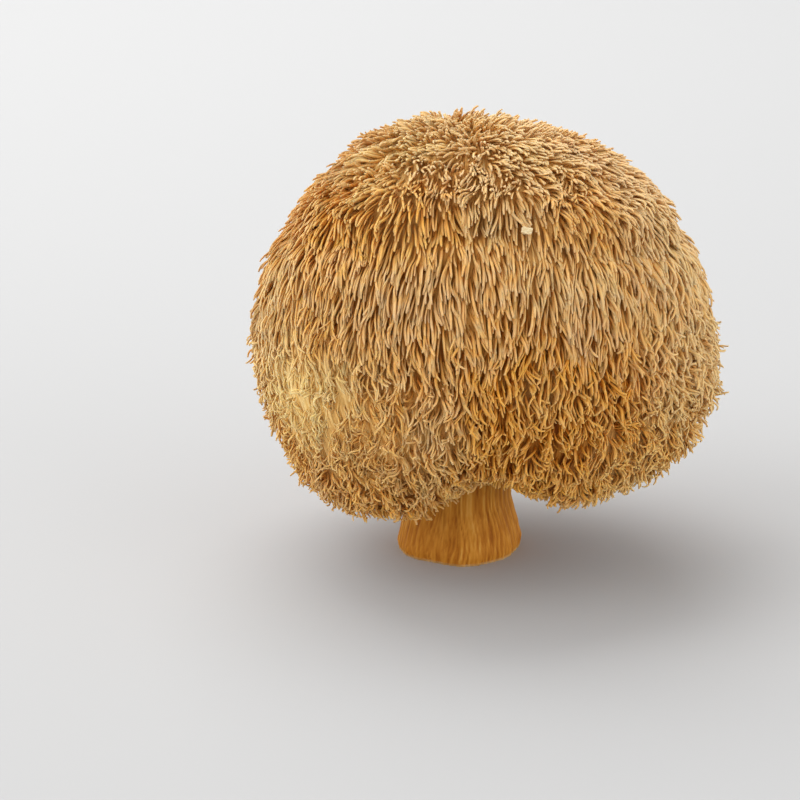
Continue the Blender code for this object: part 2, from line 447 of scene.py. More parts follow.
def stretched(tree, value, low, high):
    """A value from low to high drawn out to run from 0 to 1."""
    inputs = {"Value": value, "From Min": low, "From Max": high}
    return put(tree, "ShaderNodeMapRange", inputs).outputs[0]


def roughened(tree, shader, height, depth):
    """Fine relief, this deep, that isn't in the mesh."""
    bump = put(tree, "ShaderNodeBump", {"Strength": 1.0, "Distance": depth, "Height": height})
    tree.links.new(bump.outputs[0], shader.inputs["Normal"])


def tooth_material():
    """Dried teeth: tan to the tip, golden or cream in some places, darker orange-brown toward the
    root as painted shade deep among the teeth.
    """
    material, tree, shader = new_surface("dried_tooth", roughness=0.6, glow=0.4)
    along = attribute(tree, "tooth_along")
    # Every ramp darkens toward the root: painted shade in the gaps between the teeth, where their
    # roots lie under the others.
    tan = ramp(tree, along, (
        (0.0, (0.42, 0.135, 0.012)),
        (0.25, (0.70, 0.355, 0.095)),
        (0.55, (0.79, 0.500, 0.222)),
        (1.0, (0.79, 0.530, 0.285)),
    ))
    golden = ramp(tree, along, (
        (0.0, (0.24, 0.050, 0.001)),
        (0.25, (0.57, 0.190, 0.012)),
        (0.55, (0.81, 0.380, 0.056)),
        (1.0, (0.83, 0.455, 0.118)),
    ))
    cream = ramp(tree, along, (
        (0.0, (0.80, 0.440, 0.100)),
        (0.5, (0.92, 0.635, 0.240)),
        (1.0, (0.97, 0.745, 0.370)),
    ))
    speck = stretched(tree, object_noise(tree, scale=420.0, detail=3.0), 0.35, 0.65)
    speck = calc(tree, "MULTIPLY", calc(tree, "SUBTRACT", speck, 0.5), GOLD_SPECKS)
    gold = calc(tree, "ADD", attribute(tree, "gold"), speck)
    colour = mixed(tree, stretched(tree, gold, 0.0, 1.0), tan, golden)
    colour = mixed(tree, attribute(tree, "pale"), colour, cream)
    tint = attribute(tree, "tooth_tint")
    light = calc(tree, "MULTIPLY", tint, LIGHTEST_TOOTH - DARKEST_TOOTH)
    light = calc(tree, "ADD", DARKEST_TOOTH, light)
    tree.links.new(mixed(tree, 1.0, colour, light, "MULTIPLY"), shader.inputs["Base Color"])
    roughened(tree, shader, object_noise(tree, scale=2600.0, detail=3.0), depth=0.06 * MM)
    return material


def flesh_material():
    """The flesh between the roots of the teeth: streaked, dark brown as painted shade deep between
    the teeth, lighter orange with matting, cream where pale.
    """
    material, tree, shader = new_surface("dried_flesh", roughness=0.8)
    place = put(tree, "ShaderNodeAttribute", attribute_name="streak").outputs["Vector"]
    inputs = {"Vector": place, "Scale": 1300.0, "Detail": 2.0}
    streak = put(tree, "ShaderNodeTexNoise", inputs).outputs["Fac"]
    streak = stretched(tree, streak, 0.36, 0.64)
    # The dark brown is painted shade, for flesh deep among the teeth; matted_and_shade draws it
    # toward the orange of flesh flattened by matting.
    brown = ramp(tree, streak, ((0.0, (0.12, 0.025, 0.001)), (1.0, (0.42, 0.145, 0.014))))
    orange = ramp(tree, streak, ((0.0, (0.42, 0.140, 0.012)), (1.0, (0.86, 0.480, 0.130))))
    cream = ramp(tree, streak, ((0.0, (0.84, 0.520, 0.150)), (1.0, (0.97, 0.720, 0.320))))
    colour = mixed(tree, attribute(tree, "matted_and_shade"), brown, orange)
    colour = mixed(tree, attribute(tree, "pale"), colour, cream)
    tree.links.new(colour, shader.inputs["Base Color"])
    grain = calc(tree, "ADD", streak, object_noise(tree, scale=1100.0, detail=3.0))
    roughened(tree, shader, grain, depth=0.35 * MM)
    return material


def stem_material():
    """Golden-brown strands fused side by side, painted darker in the grooves between them as shade,
    over the paler cut face.
    """
    material, tree, shader = new_surface("dried_stem", roughness=0.6)
    fine = object_noise(tree, scale=1700.0, detail=5.0, stretch=(1, 1, 0.06))
    fine = stretched(tree, fine, 0.3, 0.7)
    strand = calc(tree, "MULTIPLY", attribute(tree, "strand"), STRAND_SHARE)
    strand = calc(tree, "ADD", strand, calc(tree, "MULTIPLY", fine, FINE_SHARE))
    skin = ramp(tree, strand, (
        (0.0, (0.24, 0.060, 0.003)),
        (0.35, (0.44, 0.150, 0.012)),
        (0.7, (0.60, 0.245, 0.028)),
        (1.0, (0.72, 0.370, 0.075)),
    ))
    pores = stretched(tree, object_noise(tree, scale=700.0, detail=4.0), 0.3, 0.7)
    pith = ramp(tree, pores, ((0.0, (0.58, 0.320, 0.100)), (1.0, (0.88, 0.650, 0.330))))
    colour = mixed(tree, attribute(tree, "cut"), skin, pith)
    tree.links.new(colour, shader.inputs["Base Color"])
    roughened(tree, shader, fine, depth=0.12 * MM)
    return material


def crumb_material():
    """A dry, pale, mealy chip."""
    material, tree, shader = new_surface("dry_crumb", roughness=0.7)
    grain = stretched(tree, object_noise(tree, scale=2500.0, detail=3.0), 0.3, 0.7)
    colour = ramp(tree, grain, ((0.0, (0.72, 0.520, 0.260)), (1.0, (0.92, 0.780, 0.500))))
    tree.links.new(colour, shader.inputs["Base Color"])
    roughened(tree, shader, grain, depth=0.1 * MM)
    return material


# ---- Flesh ----

# The flesh starts as a ball that is divided this many times.
FLESH_LEVEL = 6
# The locks of the solid are narrower than twice this many edges of the flesh's mesh.
LOCK_PASSES = 3
SMOOTH_PASSES = 22
# Blender's noise seldom passes 0.6 either way, and is drawn out to about 1.
WAVE_GAIN = 1.6


def solid_tree(node):
    """One of the solids, to aim rays at."""
    work = bmesh.new()
    work.from_mesh(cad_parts[node].data)
    solid = BVHTree.FromBMesh(work)
    work.free()
    return solid


def spread(values, edges, pick, passes):
    """The least or the greatest value among a vertex and its neighbours, a few times over."""
    for _ in range(passes):
        found = values.copy()
        pick.at(found, edges[:, 0], values[edges[:, 1]])
        pick.at(found, edges[:, 1], values[edges[:, 0]])
        values = found
    return values


def evened(values, edges, passes):
    """Each vertex's value drawn half way to the mean of its neighbours, a few times over."""
    links = np.bincount(edges.ravel(), minlength=len(values))
    for _ in range(passes):
        total = np.bincount(edges[:, 0], values[edges[:, 1]], len(values))
        total += np.bincount(edges[:, 1], values[edges[:, 0]], len(values))
        values = 0.5 * values + 0.5 * total / links
    return values


def flesh_mesh():
    """The head's solid seen from its middle, with the locks taken off and the rest evened."""
    solid = solid_tree("head")
    middle = Vector(MIDDLE)
    work = bmesh.new()
    bmesh.ops.create_icosphere(work, subdivisions=FLESH_LEVEL, radius=1.0)
    work.verts.ensure_lookup_table()
    ways = np.array([corner.co.normalized()[:] for corner in work.verts])
    radius = np.array([solid.ray_cast(middle, Vector(way))[3] for way in ways])
    edges = np.array([[corner.index for corner in edge.verts] for edge in work.edges])
    radius = spread(radius, edges, np.minimum, LOCK_PASSES)
    radius = spread(radius, edges, np.maximum, LOCK_PASSES)
    radius = evened(radius, edges, SMOOTH_PASSES)
    places = MIDDLE + ways * radius[:, None]
    for corner, place in zip(work.verts, places):
        corner.co = place
    bmesh.ops.recalc_face_normals(work, faces=work.faces)
    work.normal_update()
    for corner, proud in zip(work.verts, maps_at(places)["skin"]):
        corner.co += corner.normal * proud
    return smooth_mesh(work, "head_flesh")


def read_vectors(mesh, name):
    values = np.empty(len(mesh.vertices) * 3)
    mesh.vertices.foreach_get(name, values)
    return values.reshape(-1, 3)


def set_map(mesh, name, values):
    """Store one value or vector a vertex."""
    vector = values.ndim == 2
    layer = mesh.attributes.new(name, "FLOAT_VECTOR" if vector else "FLOAT", "POINT")
    layer.data.foreach_set("vector" if vector else "value", values.astype(np.float32).ravel())


def waves(places, size, shift):
    """Smooth noise from about -1 to 1 with lumps of a size."""
    offset = Vector((shift, -shift, 2 * shift))
    return np.array([noise.noise(Vector(place) / size + offset) for place in places]) * WAVE_GAIN


# How the teeth and the flesh change from the crown down, at each angle in degrees:
# - reach, lift: how long a tooth is, and how far outward it starts
# - stand: how high over the flesh it lies once it has levelled off
# - curl, thick: how much it swirls, and its radius at the root
# - turn: how far whole patches of teeth are swung to one side, in degrees
# - skin, pitted: how far the flesh stands out, and how many pits there are in it
# - gold, matted_and_shade: how golden the teeth are, and how orange the flesh is between them;
#   where low the flesh is dark brown, painted shade deep among the teeth
# Reach, stand, thick and skin are in millimetres. The rest are shares.
HABIT_COLUMNS = (
    "angle", "reach", "lift", "stand", "curl", "thick", "turn", "skin", "pitted", "gold", "matted_and_shade"
)
HABIT = (
    (0, 5.0, 0.28, 1.6, 0.40, 0.28, 40, 0.9, 0.3, 0.10, 0.6),
    (15, 5.2, 0.26, 1.5, 0.40, 0.28, 38, 0.9, 0.3, 0.15, 0.6),
    (28, 5.8, 0.21, 1.4, 0.36, 0.28, 32, 1.1, 0.3, 0.20, 0.6),
    (38, 7.0, 0.17, 1.2, 0.26, 0.29, 16, 1.1, 0.2, 0.30, 0.6),
    (44, 7.9, 0.18, 1.2, 0.24, 0.30, 12, 0.9, 0.0, 0.35, 0.6),
    (54, 8.3, 0.20, 1.2, 0.25, 0.29, 10, 0.9, 0.0, 0.40, 0.6),
    (64, 8.1, 0.24, 1.3, 0.32, 0.29, 11, 0.9, 0.0, 0.45, 0.6),
    (74, 6.8, 0.33, 1.6, 0.48, 0.28, 14, 0.8, 0.1, 0.55, 0.4),
    (84, 5.6, 0.36, 1.9, 0.66, 0.255, 12, 0.7, 0.4, 0.70, 0.2),
    (98, 4.9, 0.38, 2.1, 0.92, 0.235, 12, 0.8, 0.8, 0.75, 0.0),
    (112, 4.6, 0.42, 2.2, 1.04, 0.235, 13, 0.8, 1.0, 0.75, 0.0),
    (128, 4.3, 0.50, 2.2, 1.10, 0.24, 18, 0.7, 1.0, 0.75, 0.0),
    (152, 3.8, 0.60, 2.0, 0.80, 0.27, 26, 0.3, 0.5, 0.70, 0.1),
    (180, 3.4, 0.70, 1.8, 0.50, 0.28, 30, 0.0, 0.2, 0.60, 0.2),
)
IN_MM = ("reach", "stand", "thick", "skin")

# Where the crown ends its teeth jut out in a brow, over a hollow. The brow is this many degrees
# from the crown in front, and this many more at the sides, where all the bands hang lower. That
# fades out over some degrees, down to an angle under which the bands are level.
BROW_ANGLE = 33
BROW_DROP = 12
DROP_END = 75
DROP_FADE = 25
BROW_WIDTH = 4
HOLLOW_BELOW = 11
HOLLOW_WIDTH = 5
# How strong both are behind, as a share of the front.
BROW_BEHIND = 0.2
# What they add to the maps.
BROW = {"stand": 1.0, "skin": 0.6, "lift": 0.14}
# In the hollow the flesh is painted darker: painted shadow under the brow.
HOLLOW = {"stand": -0.5, "skin": -1.2, "cover": -0.3, "matted_and_shade": -0.6}
# The bands waver by this many degrees, in lumps of this size.
BAND_WAVER = 3.0
BAND_LUMP = 8.0 * MM
# How far the colours change from place to place, and the size of the lumps.
GOLD_WAVER = 0.35
GOLD_LUMP = 14.0 * MM
PALE_WAVER = 0.2
PALE_LUMP = 9.0 * MM
MATTED_WAVER = 0.3
MATTED_LUMP = 6.0 * MM
# Pits: their size, how steep their edge is, how rare, how bare and how many millimetres deep.
PIT_LUMP = 3.2 * MM
PIT_STEEPNESS = 2.5
PIT_RARITY = 0.9
PIT_BARENESS = 0.8
PIT_DEPTH = 1.1

# Places that differ from the rest: degrees round from the front and down from the crown, size
# in millimetres, and what is added to each map there. Two maps are here alone: pale, which is how
# cream the teeth and the flesh are, and cover, which is how densely the teeth grow.
PATCHES = (
    # the pale side at the front left, flat with matting, and paler teeth beside it
    (-56, 87, 15, {"pale": 0.8, "matted_and_shade": 0.8, "gold": -0.5, "stand": -1.6, "lift": -0.2}),
    (-44, 81, 6, {"pale": 0.4, "matted_and_shade": 0.6, "gold": -0.3, "stand": -0.6}),
    (-60, 104, 10, {"pale": 0.2, "matted_and_shade": 0.7, "gold": 0.1, "stand": -1.5, "lift": -0.2}),
    (-34, 102, 14, {"gold": 0.05, "pale": 0.2, "matted_and_shade": 1.0, "stand": -1.5, "lift": -0.2}),
    (-48, 93, 24, {"pitted": -1.0, "thick": -0.06, "curl": 0.25}),
    (-72, 74, 15, {"gold": -0.35, "pale": 0.2, "stand": -0.8, "matted_and_shade": 0.4}),
    (-80, 90, 12, {"pale": 0.3, "matted_and_shade": 0.4, "gold": -0.3, "stand": -0.8}),
    (-36, 79, 9, {"gold": -0.3, "pale": 0.3, "stand": -0.6, "matted_and_shade": 0.3}),
    (-15, 94, 9, {"gold": -0.35, "pale": 0.12}),
    # gold on the upper left, the first two painted shadow under the brow, and gold in the middle
    # and low in front
    (-60, 44, 12, {"gold": 0.7}),
    (-36, 41, 10, {"gold": 0.5}),
    (-80, 60, 13, {"gold": 0.2, "pale": 0.12}),
    (9, 79, 12, {"gold": 0.6}),
    (24, 80, 8, {"gold": 0.3}),
    (14, 100, 16, {"gold": 0.7, "cover": -0.12}),
    (30, 106, 14, {"gold": 0.4}),
    # cream on the right and on the crown
    (80, 62, 26, {"gold": -0.4, "pale": 0.2}),
    (70, 96, 18, {"gold": -0.5, "pale": 0.3}),
    (52, 92, 9, {"gold": -0.2, "pale": 0.2, "turn": 8}),
    (47, 111, 10, {"pale": 0.25}),
    (50, 129, 9, {"gold": -0.5, "pale": 0.3}),
    (20, 50, 9, {"gold": -0.2, "pale": 0.12}),
    (20, 4, 16, {"pale": 0.2}),
    (30, 24, 18, {"pale": 0.15}),
    # paler teeth and lighter flesh on the left of the crown: partly painted light, where light
    # falls on the crown
    (-66, 28, 12, {"gold": -0.2, "pale": 0.4, "matted_and_shade": 0.3}),
    (-90, 18, 16, {"gold": -0.2, "pale": 0.25}),
    # teeth that hang more in line, low on the far right
    (80, 92, 21, {"turn": -5, "lift": -0.08, "curl": 0.1, "matted_and_shade": 0.3}),
    # stouter, wavier teeth over orange skin on the right
    (62, 76, 21, {"thick": 0.03, "stand": -0.5, "curl": 0.18, "matted_and_shade": 0.5}),
    # tufts with gaps between them on the left of the crown, flatter teeth on its right
    (-60, 32, 15, {"pitted": 0.5, "stand": 0.4, "thick": 0.02}),
    (35, 32, 17, {"stand": -0.4, "matted_and_shade": 0.3}),
    # short upright teeth where the crown's whorl begins, at the back
    (184, 27, 7, {"lift": 0.9, "stand": 1.6, "reach": -2.0, "turn": 40}),
    # raised teeth that break the outline
    (180, 20, 30, {"stand": 0.8, "lift": 0.2, "skin": -0.9}),
    (95, 62, 22, {"stand": 0.5, "lift": 0.12, "skin": -0.8}),
    (70, 32, 12, {"skin": -0.8}),
    (-100, 50, 22, {"stand": 0.4, "lift": 0.12, "skin": -0.7}),
    # two pits in the crown, with deeper gold teeth and darker flesh painted in them as shade
    (-66, 30, 2.6, {"gold": 0.4, "cover": -0.9, "skin": -1.6, "matted_and_shade": -0.4}),
    (-26, 23, 2.8, {"gold": 0.5, "cover": -1.2, "skin": -2.2, "matted_and_shade": -0.6}),
    # short tight teeth round the notch
    (2, 135, 14, {"reach": -1.3, "stand": -0.8, "curl": 0.2, "skin": -0.8}),
    (11, 140, 10, {"reach": -0.6, "skin": -2.4}),
    # fuller or flatter than round
    (-110, 24, 14, {"skin": 1.2}),
    (95, 46, 20, {"skin": 0.9}),
    (88, 84, 12, {"skin": -0.6}),
    (-50, 131, 13, {"skin": 2.2}),
    (62, 120, 12, {"skin": 1.0}),
    (95, 118, 14, {"skin": -1.6}),
    (-95, 110, 12, {"skin": -1.0}),
)

# How quickly a patch fades at its edge, how ragged the edge is, and how long its lumps are as
# shares of the patch.
PATCH_FADE = 1.5
PATCH_RAGGED = 0.2
PATCH_LUMP = 0.4

# The head leans: its axis is tilted this many degrees to the back and to the side. Its teeth
# hang down along that axis, and a little outward of it.
LEAN_BACK = 28
LEAN_SIDE = -3
HANG_OUTWARD = 0.10
# The crown's teeth are also combed aside from a wavy line, left of it and right of it by these
# shares of the way they run down. That fades out over some degrees, down to an angle.
PARTING_X = -1.8 * MM
PARTING_WIDTH = 7.0 * MM
PARTING_WAVE = 0.8
PARTING_LUMP = 9 * MM
PARTING = (0.28, 0.24)
PARTING_END = 42
PARTING_FADE = 14
# They wind round the top of the axis, by this many degrees at it and less over this distance.
WHORL_TWIST = 75
WHORL_SIZE = 9 * MM
# The patches of teeth that swing to one side together are about this wide.
TUFT_SIZE = 6.0 * MM
# The streaks of the flesh are noise on a rod of this radius, drawn out along it.
STREAK_RADIUS = 40 * MM
STREAK_SHORTENING = 0.12


def unit(vectors):
    """Vectors of length 1 that point the same ways."""
    return vectors / np.maximum(np.linalg.norm(vectors, axis=1, keepdims=True), 1e-9)


def head_angle(places):
    """Degrees down from the crown, as if the head were round."""
    off = places - MIDDLE
    level = np.where(off[:, 2] > 0, HEAD_HIGH[2] - EQUATOR, EQUATOR - HEAD_LOW[2])
    flat = np.hypot(off[:, 0] / (HEAD_SIZE[0] / 2), off[:, 1] / (HEAD_SIZE[1] / 2))
    return np.degrees(np.arctan2(flat, off[:, 2] / level))


def head_turn(places):
    """Degrees round the head from the front, rising toward +X."""
    off = places - MIDDLE
    return np.degrees(np.arctan2(off[:, 0], -off[:, 1])) % 360


def along_surface(ways, normals):
    """What is left of some vectors without the part of them along the normals."""
    return ways - normals * np.sum(ways * normals, axis=1, keepdims=True)


def parted(places):
    """How far the teeth of the crown are combed aside, to each side of a parting."""
    angle = head_angle(places)
    waving = PARTING_WAVE * waves(places, PARTING_LUMP, shift=6.1)
    aside = np.tanh((places[:, 0] - PARTING_X) / PARTING_WIDTH + waving)
    aside *= np.where(aside < 0, *PARTING)
    return aside * np.clip((PARTING_END - angle) / PARTING_FADE, 0, 1)


def leaning():
    """The head's axis, pointing up."""
    lean = np.array((math.sin(math.radians(LEAN_SIDE)), math.sin(math.radians(LEAN_BACK)), 1.0))
    return lean / np.linalg.norm(lean)


def streaked(places):
    """Where the flesh's streaks are read, so that they follow the way that the teeth hang."""
    off = places - MIDDLE
    height = (off @ leaning())[:, None] * leaning()
    return unit(off - height) * STREAK_RADIUS + height * STREAK_SHORTENING


def combed(places, normals, swing):
    """The way that the teeth are combed over the surface, each patch swung its own way."""
    down = np.tile(-leaning(), (len(places), 1))
    off = places - MIDDLE
    down[:, :2] += off[:, :2] / (HEAD_SIZE[0] / 2) * HANG_OUTWARD
    # Followed over a smooth egg first, so that lumps in the flesh don't turn the teeth.
    comb = unit(along_surface(down, unit(off / (HEAD_SIZE / 2) ** 2)))
    comb[:, 0] += parted(places)
    comb = unit(along_surface(comb, normals))
    from_axis = np.linalg.norm(along_surface(off, leaning()), axis=1)
    wound = WHORL_TWIST * np.exp(-((from_axis / WHORL_SIZE) ** 2)) * (off[:, 2] > 0)
    swing = np.radians(swing * waves(places, TUFT_SIZE, shift=3.7) + wound)[:, None]
    return comb * np.cos(swing) + np.cross(normals, comb) * np.sin(swing)


def patch_share(places, turn, angle, size):
    """How much each place belongs to a patch, with a ragged edge."""
    across = math.sin(math.radians(angle))
    below = MIDDLE[2] - HEAD_LOW[2] if angle > 90 else HEAD_HIGH[2] - MIDDLE[2]
    way = np.array((
        across * math.sin(math.radians(turn)) * HEAD_SIZE[0] / 2,
        -across * math.cos(math.radians(turn)) * HEAD_SIZE[1] / 2,
        math.cos(math.radians(angle)) * below,
    ))
    centre = places[np.argmax(unit(places - MIDDLE) @ way)]
    away = np.linalg.norm(places - centre, axis=1) / (size * MM)
    away += PATCH_RAGGED * waves(places, PATCH_LUMP * size * MM, shift=1.3)
    return np.clip(PATCH_FADE - PATCH_FADE * away, 0, 1)


def band_angle(places):
    """Degrees down from the crown on the wavering scale that the habit and the brow follow."""
    angle = head_angle(places)
    turn = np.radians(head_turn(places))
    high_up = np.clip((DROP_END - angle) / DROP_FADE, 0, 1)
    ragged = angle - BROW_DROP * np.sin(turn) ** 2 * high_up
    return ragged + BAND_WAVER * waves(places, BAND_LUMP, shift=9.1)


def habit_at(places, ragged):
    """The habit at each place, with the colours changing a little from place to place."""
    table = np.array(HABIT)
    maps = {
        name: np.interp(ragged, table[:, 0], table[:, column])
        for column, name in enumerate(HABIT_COLUMNS)
    }
    maps["gold"] += GOLD_WAVER * waves(places, GOLD_LUMP, shift=5.3)
    maps["pale"] = PALE_WAVER * np.clip(waves(places, PALE_LUMP, shift=7.9), 0, 1)
    maps["matted_and_shade"] += MATTED_WAVER * waves(places, MATTED_LUMP, shift=2.2)
    maps["cover"] = np.ones(len(places))
    return maps


def zones_at(places, ragged):
    """How much each place belongs to the brow, the hollow and each patch, with their changes."""
    turn = np.radians(head_turn(places))
    front = BROW_BEHIND + (1 - BROW_BEHIND) * np.clip(np.cos(turn), 0, 1)
    brow = front * np.exp(-(((ragged - BROW_ANGLE) / BROW_WIDTH) ** 2))
    hollow = front * np.exp(-(((ragged - BROW_ANGLE - HOLLOW_BELOW) / HOLLOW_WIDTH) ** 2))
    zones = [(brow, BROW), (hollow, HOLLOW)]
    return zones + [(patch_share(places, *place), changes) for *place, changes in PATCHES]


def maps_at(places):
    """What steers and colours teeth and flesh at each place, in metres, degrees and shares."""
    ragged = band_angle(places)
    maps = habit_at(places, ragged)
    for share, changes in zones_at(places, ragged):
        for name, change in changes.items():
            maps[name] = maps[name] + share * change
    pit = np.clip(PIT_STEEPNESS * waves(places, PIT_LUMP, shift=4.4) - PIT_RARITY, 0, 1)
    pit *= np.clip(maps["pitted"], 0, 1)
    maps["cover"] -= PIT_BARENESS * pit
    maps["skin"] -= PIT_DEPTH * pit
    for name in IN_MM:
        maps[name] = maps[name] * MM
    return maps


def groom(mesh):
    """Store the maps on the vertices, apart from the cover, which each band gets its own way."""
    places = read_vectors(mesh, "co")
    maps = maps_at(places)
    set_map(mesh, "comb", combed(places, read_vectors(mesh, "normal"), maps["turn"]))
    set_map(mesh, "streak", streaked(places))
    for name in ("reach", "lift", "stand", "curl", "thick"):
        set_map(mesh, name, np.maximum(maps[name], 0))
    for name in ("gold", "pale", "matted_and_shade"):
        set_map(mesh, name, np.clip(maps[name], 0, 1))
    return places, np.clip(maps["cover"], 0, 1)


def masked(mesh, cover, name):
    """A copy of the flesh on which teeth grow only in one band."""
    part = mesh.copy()
    part.name = name
    set_map(part, "cover", cover)
    return part


# Each band of teeth is small enough to be a piece: its angles down from the crown, its first
# and last turn round from the front, its spacing and tuft spacing in millimetres, how far its
# teeth gather into tufts, how many steps a tooth takes, and how blunt its tip is.
COATS = (
    ("crown_teeth", 0, 40, 0, 360, 0.68, 2.5, 0.2, 7, 0.66),
    ("mane_front", 40, 84, -90, 90, 0.755, 2.6, 0.10, 8, 0.48),
    ("mane_back", 40, 84, 90, 270, 0.83, 2.6, 0.10, 8, 0.48),
    ("curls_front", 84, 132, -60, 60, 0.62, 3.0, 0.12, 8, 0.66),
    ("curls_right", 84, 132, 60, 180, 0.68, 3.0, 0.12, 8, 0.66),
    ("curls_left", 84, 132, 180, 300, 0.68, 3.0, 0.12, 8, 0.66),
    ("under_teeth", 132, 181, 0, 360, 0.98, 3.0, 0.15, 8, 0.72),
)
# These are the same in every band: the sides of a tooth, how many swirls of noise there are to a
# metre, how far neighbours start apart in direction, and the first band's seed.
TOOTH_SIDES = 3
SWIRLS_PER_METRE = 430.0
SCATTER = 0.22
FIRST_SEED = 11
# No teeth grow where the stem meets the head.
STEM_CLEAR = (STEM_HIGH[0] - STEM_LOW[0]) / 2


def make_coat(flesh, material):
    """All the teeth, in bands small enough to be a piece each."""
    places, cover = groom(flesh)
    angle = head_angle(places)
    turn = head_turn(places)
    under_head = places[:, 2] < STEM_HIGH[2]
    cover[under_head & (np.hypot(places[:, 0], places[:, 1]) < STEM_CLEAR)] = 0.0
    tree = coat_tree()
    pieces = []
    for seed, coat in enumerate(COATS, FIRST_SEED):
        name, top, bottom, first, last, spacing, tufts, gather, steps, tip = coat
        keep = (angle >= top) & (angle < bottom) & ((turn - first) % 360 < last - first)
        values = {
            "Spacing": spacing * MM,
            "Tuft Spacing": tufts * MM,
            "Gather": gather,
            "Steps": steps,
            "Sides": TOOTH_SIDES,
            "Tip Share": tip,
            "Curl Scale": SWIRLS_PER_METRE,
            "Scatter": SCATTER,
            "Seed": seed,
            "Material": material,
        }
        scalp = masked(flesh, keep * cover, name + "_scalp")
        pieces.append(grown_on(scalp, tree, name, values))
    return pieces


# ---- Stem ----

STEM_RINGS = 46
STEM_SEGMENTS = 252
CUT_RINGS = 8
# The collar runs up into the flesh, and flares from this share of the stem's height.
COLLAR_START = 0.72
COLLAR_RISE = 3.0 * MM
COLLAR_FLARE = 1.6 * MM
# Strands fused along the stem: how many lumps of noise in its radius, how deep, how straight.
STRANDS = ((14.0, 0.34 * MM, 24 * MM), (32.0, 0.20 * MM, 14 * MM))
# They wander round the stem by this many radians, in lumps of noise this long.
STRAND_WANDER = 0.12
WANDER_LENGTH = 12 * MM
WANDER_LUMPS = 1.5
# How soon a strand's ridge takes the colour of its top; below that it darkens toward the grooves,
# as painted shade.
STRAND_CONTRAST = 2.2
# The cut is torn into lumps of this size and height, less so toward its edge.
CUT_LUMP = 1.5 * MM
CUT_TEAR = 0.35 * MM
CUT_EDGE = 4
# Rays keep this far from the ends of the solid.
RAY_MARGIN = 0.5 * MM


def strand_height(azimuth, height):
    """How far the fused strands stand out: round ridges with sharp grooves between."""
    way = Vector((math.cos(azimuth), math.sin(azimuth), height / WANDER_LENGTH))
    azimuth += STRAND_WANDER * noise.noise(way * WANDER_LUMPS)
    proud = 0.0
    for lumps, depth, straight in STRANDS:
        spot = (math.cos(azimuth) * lumps, math.sin(azimuth) * lumps, height / straight)
        proud += abs(noise.noise(Vector(spot))) * depth
    return proud


def tube_faces(rings, segments):
    """The faces between rings of points that lie one after the other."""
    faces = []
    for ring in range(rings - 1):
        for turn in range(segments):
            here = ring * segments + turn
            beside = ring * segments + (turn + 1) % segments
            faces.append((here, beside, beside + segments, here + segments))
    return faces


def stem_mesh():
    """A stump of fused strands, flaring into the flesh above, with a rough cut below."""
    solid = solid_tree("stem")
    tall = STEM_HIGH[2] - STEM_LOW[2]
    deepest = sum(depth for _, depth, _ in STRANDS)
    # The strands are sunk this far, so that they stand about as much in the solid as out of it.
    sunk = deepest / 3
    rings = [(index / CUT_RINGS, 0.0) for index in range(1, CUT_RINGS)]
    rings += [(1.0, index / STEM_RINGS * (tall + COLLAR_RISE)) for index in range(STEM_RINGS + 1)]
    places = []
    cut = []
    strand = []
    for size, height in rings:
        level = min(max(height, RAY_MARGIN), tall - RAY_MARGIN)
        collar = (1 - COLLAR_START) * tall + COLLAR_RISE
        near_top = max(0.0, (height - COLLAR_START * tall) / collar)
        for turn in range(STEM_SEGMENTS):
            azimuth = 2 * math.pi * turn / STEM_SEGMENTS
            way = Vector((math.cos(azimuth), math.sin(azimuth), 0))
            radius = solid.ray_cast(Vector((0, 0, STEM_LOW[2] + level)), way)[3]
            proud = strand_height(azimuth, height)
            radius += COLLAR_FLARE * near_top**2 + proud - sunk
            place = way * radius * size
            if height == 0:
                place.z = abs(noise.noise(place / CUT_LUMP)) * CUT_TEAR * (1 - size**CUT_EDGE)
            place.z += STEM_LOW[2] + height
            places.append(place)
            cut.append(1.0 if height == 0 else 0.0)
            # Lower in the grooves, darker: painted shade.
            strand.append(min(1.0, STRAND_CONTRAST * proud / deepest))
    faces = tube_faces(len(rings), STEM_SEGMENTS)
    for first in (0, (len(rings) - 1) * STEM_SEGMENTS):
        centre = len(places)
        places.append(Vector((0, 0, places[first].z)))
        cut.append(1.0)
        strand.append(0.5)
        for turn in range(STEM_SEGMENTS):
            faces.append((first + turn, first + (turn + 1) % STEM_SEGMENTS, centre))
    shape = bpy.data.meshes.new("stem_shape")
    shape.from_pydata(places, [], faces)
    set_map(shape, "cut", np.array(cut))
    set_map(shape, "strand", np.array(strand))
    work = bmesh.new()
    work.from_mesh(shape)
    bpy.data.meshes.remove(shape)
    bmesh.ops.recalc_face_normals(work, faces=work.faces)
    return smooth_mesh(work, "stem_body")


# ---- A crumb caught in the teeth ----

# Degrees round from the front and down from the crown.
CRUMB_TURN = 11
CRUMB_ANGLE = 42
CRUMB_SIZE = (1.8 * MM, 1.15 * MM, 0.8 * MM)
CRUMB_PROUD = 1.9 * MM
CRUMB_TWIST = math.radians(-20)
# A ball is made boxy by this power, then lumpy: how far, and how many lumps.
CRUMB_BOXINESS = 0.5
CRUMB_LUMPS = ((0.5, 1.4), (0.2, 4.0))
# Its spot is the middle of a patch of this size.
CRUMB_PATCH = 3.0


